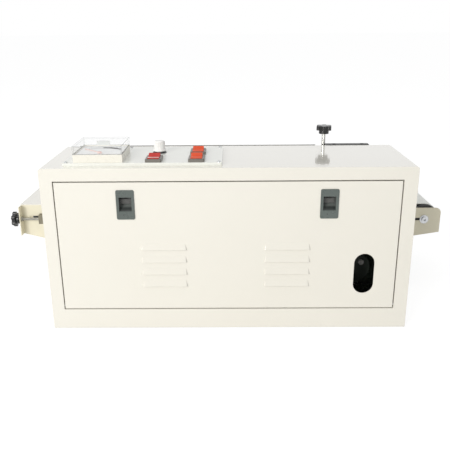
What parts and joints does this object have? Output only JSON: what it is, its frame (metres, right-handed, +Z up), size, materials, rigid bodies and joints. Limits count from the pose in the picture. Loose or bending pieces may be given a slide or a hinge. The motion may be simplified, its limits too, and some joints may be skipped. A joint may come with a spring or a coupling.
{
  "type": "conveyor reflow oven",
  "caption": "Benchtop conveyor reflow oven: cream control cabinet with drop-down door, belt conveyor behind it, hinged preheat hood and height-adjustable reflow head.",
  "frame": {"origin": "middle of the machine's overall box, on the bench surface", "axes": "+X along the belt towards its drive end (to the right seen from the front), +Y from the cabinet front to the back, +Z up"},
  "size_m": [0.9606, 0.4362, 0.37],
  "materials": {
    "cream_paint": "smooth glossy warm cream powder coat",
    "cream_plastic": "moulded cream plastic",
    "zinc_sheet": "dull zinc-plated sheet",
    "bright_steel": "bright turned or plated steel",
    "stainless_sheet": "plain stainless sheet",
    "chrome": "polished chrome",
    "black_metal": "satin black",
    "black_plastic": "fine-grained black",
    "grey_plastic": "grey-green moulded plastic",
    "rubber": "matt black rubber",
    "white_plastic": "off-white moulded plastic",
    "clear_plastic": "clear moulded plastic",
    "red_plastic": "translucent red lens",
    "needle_enamel": "thin pale red enamel",
    "motor_paint": "black enamel",
    "board": "green solder mask",
    "aluminium": "plain machined aluminium",
    "belt_cloth": "pale coated glass cloth",
    "quartz": "milky quartz tube with ceramic ends"
  },
  "bodies": {
    "cabinet": {"cabinet_shell": "cream_paint", "base_plate": "zinc_sheet", "rear_panel": "cream_paint", "rubber_feet": "rubber", "panel_screws": "bright_steel", "door_pivot_pins": "bright_steel", "control_plate": "cream_paint", "instrument_case": "cream_plastic", "instrument_dial": "white_plastic", "instrument_cover": "clear_plastic", "potentiometer": "bright_steel", "power_switch_body": "black_plastic", "heater_switch_body": "black_plastic", "belt_switch_body": "black_plastic", "gear_motor": "motor_paint", "control_board": "board", "heat_sink": "aluminium", "solid_state_relays": "black_plastic", "terminal_block": "white_plastic", "fan_frame": "black_plastic", "power_inlet": "black_plastic", "near_side_plate": "cream_paint", "far_side_plate": "cream_paint", "tie_rods": "bright_steel", "rear_legs": "cream_paint", "infeed_table": "cream_paint", "belt_bed": "zinc_sheet", "conveyor_belt": "belt_cloth", "drive_axle": "bright_steel", "axle_screws": "bright_steel", "drive_belt": "rubber", "drive_belt_shoe": "white_plastic", "heater_tray": "zinc_sheet", "lower_heaters": "quartz", "heat_shield": "stainless_sheet", "hood_hinge_pins": "bright_steel", "lift_frame": "zinc_sheet"},
    "door": {"front_door": "cream_paint", "latch_bezels": "grey_plastic"},
    "left_bolt": {"left_latch_bolt": "black_plastic"},
    "right_bolt": {"right_latch_bolt": "black_plastic"},
    "needle": {"instrument_needle": "needle_enamel"},
    "knob": {"speed_knob": "white_plastic"},
    "power_switch": {"power_rocker": "red_plastic"},
    "heater_switch": {"heater_rocker": "red_plastic"},
    "belt_switch": {"belt_rocker": "red_plastic"},
    "fan": {"fan_rotor": "grey_plastic"},
    "drive_roller": {"drive_roller": "black_metal"},
    "cross_shaft": {"cross_shaft": "bright_steel"},
    "takeup": {"takeup_blocks": "aluminium", "idler_axle": "bright_steel"},
    "tail_roller": {"idler_roller": "zinc_sheet"},
    "near_screw": {"takeup_screw_near": "black_plastic"},
    "far_screw": {"takeup_screw_far": "black_plastic"},
    "hood": {"preheat_hood": "cream_paint"},
    "head": {"reflow_head": "stainless_sheet", "head_heaters": "quartz", "lift_carriage": "black_metal"},
    "spindle": {"lift_spindle": "chrome", "lift_knob": "black_plastic"}
  },
  "joints": [
    {"name": "door_hinge", "type": "hinge", "parent": "cabinet", "child": "door", "pos_m": [0.00325, -0.2104, 0.0507], "axis": [1, 0, 0], "range_deg": [0, 95]},
    {"name": "left_latch_slide", "type": "slide", "parent": "door", "child": "left_bolt", "axis": [0, 0, 1], "range_m": [0, 0.006]},
    {"name": "right_latch_slide", "type": "slide", "parent": "door", "child": "right_bolt", "axis": [0, 0, 1], "range_m": [0, 0.006]},
    {"name": "needle_pivot", "type": "hinge", "parent": "cabinet", "child": "needle", "pos_m": [-0.23875, -0.1714, 0.348], "axis": [0, 0, -1], "range_deg": [0, 90]},
    {"name": "speed_knob_turn", "type": "hinge", "parent": "cabinet", "child": "knob", "pos_m": [-0.13275, -0.1034, 0.34], "axis": [0, 0, -1], "range_deg": [0, 290]},
    {"name": "power_rocker_tilt", "type": "hinge", "parent": "cabinet", "child": "power_switch", "pos_m": [-0.13575, -0.1734, 0.3385], "axis": [-1, 0, 0], "range_deg": [0, 16]},
    {"name": "heater_rocker_tilt", "type": "hinge", "parent": "cabinet", "child": "heater_switch", "pos_m": [-0.05525, -0.1734, 0.3385], "axis": [-1, 0, 0], "range_deg": [0, 16]},
    {"name": "belt_rocker_tilt", "type": "hinge", "parent": "cabinet", "child": "belt_switch", "pos_m": [-0.05525, -0.1094, 0.3385], "axis": [-1, 0, 0], "range_deg": [0, 16]},
    {"name": "fan_spin", "type": "hinge", "parent": "cabinet", "child": "fan", "pos_m": [-0.21575, -0.0249, 0.05], "axis": [0, 1, 0], "continuous": true},
    {"name": "drive_roller_spin", "type": "hinge", "parent": "cabinet", "child": "drive_roller", "pos_m": [0.44375, 0.0891, 0.157], "axis": [0, 1, 0], "continuous": true},
    {"name": "cross_shaft_spin", "type": "hinge", "parent": "cabinet", "child": "cross_shaft", "pos_m": [0.26225, 0.0891, 0.092], "axis": [0, 1, 0], "continuous": true},
    {"name": "takeup_slide", "type": "slide", "parent": "cabinet", "child": "takeup", "axis": [1, 0, 0], "range_m": [0, 0.012]},
    {"name": "tail_roller_spin", "type": "hinge", "parent": "takeup", "child": "tail_roller", "pos_m": [-0.41475, 0.0891, 0.165], "axis": [0, 1, 0], "continuous": true},
    {"name": "near_screw_turn", "type": "hinge", "parent": "cabinet", "child": "near_screw", "pos_m": [-0.44575, -0.0069, 0.165], "axis": [1, 0, 0], "range_deg": [-4325, 5]},
    {"name": "far_screw_turn", "type": "hinge", "parent": "cabinet", "child": "far_screw", "pos_m": [-0.44575, 0.1851, 0.165], "axis": [1, 0, 0], "range_deg": [-4325, 5]},
    {"name": "hood_hinge", "type": "hinge", "parent": "cabinet", "child": "hood", "pos_m": [-0.07875, 0.1811, 0.1795], "axis": [-1, 0, 0], "range_deg": [0, 90]},
    {"name": "head_slide", "type": "slide", "parent": "cabinet", "child": "head", "axis": [0, 0, 1], "range_m": [0, 0.017]},
    {"name": "spindle_turn", "type": "hinge", "parent": "cabinet", "child": "spindle", "pos_m": [0.20925, -0.0009, 0.3], "axis": [0, 0, 1], "range_deg": [-3065, 5]}
  ],
  "couplings": [
    {"joint": "cross_shaft_spin", "follows": "drive_roller_spin", "ratio": 1.456},
    {"joint": "tail_roller_spin", "follows": "drive_roller_spin", "ratio": 1.3967},
    {"joint": "near_screw_turn", "follows": "takeup_slide", "rad_per_m": -6283.2},
    {"joint": "far_screw_turn", "follows": "takeup_slide", "rad_per_m": -6283.2},
    {"joint": "spindle_turn", "follows": "head_slide", "rad_per_m": -3141.6}
  ]
}
